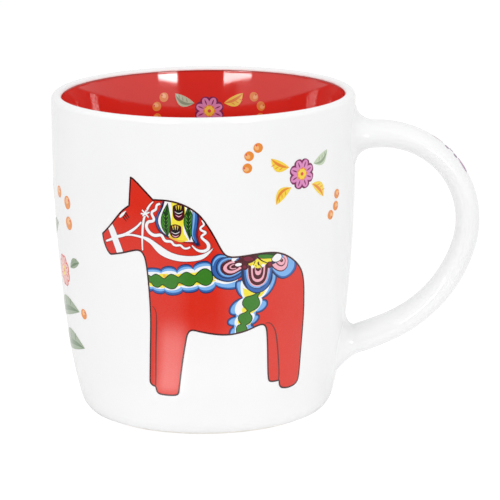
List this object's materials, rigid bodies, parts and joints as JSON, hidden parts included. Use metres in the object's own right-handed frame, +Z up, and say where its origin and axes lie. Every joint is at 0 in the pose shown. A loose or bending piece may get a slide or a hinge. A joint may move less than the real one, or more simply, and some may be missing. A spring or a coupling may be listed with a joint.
{
  "type": "printed ceramic mug",
  "caption": "Straight-sided white ceramic mug with a tapered base, a loop handle, a red glazed inside and a printed Dala horse on each side.",
  "frame": {"origin": "on the mug's axis, in the plane that the foot ring stands on", "axes": "+Z up out of the mouth, +X towards the handle, the front horse on the -Y side and the back horse on the +Y side"},
  "size_m": [0.1197, 0.085, 0.091],
  "materials": {
    "porcelain": "bisque porcelain, matt where it is bare on the foot ring",
    "slip": "dried casting slip, fired",
    "white_glaze": "glossy white glaze",
    "red_glaze": "glossy red glaze",
    "horse_inks": "ceramic transfer in red, white, blue, green, yellow and maroon under a glossy clear coat",
    "flower_inks": "ceramic transfer in orange, yellow, lilac, plum and green under a glossy clear coat"
  },
  "bodies": {
    "root": {"mug_body": "porcelain", "handle": "porcelain", "upper_slip_joint": "slip", "lower_slip_joint": "slip", "body_glaze": "white_glaze", "handle_glaze": "white_glaze", "foot_glaze": "white_glaze", "lining_glaze": "red_glaze", "horse_transfer_front": "horse_inks", "horse_transfer_back": "horse_inks", "spray_transfer_front": "flower_inks", "spray_transfer_back": "flower_inks", "garland_transfer": "flower_inks", "lining_transfer": "flower_inks", "handle_transfer": "flower_inks"}
  },
  "joints": []
}
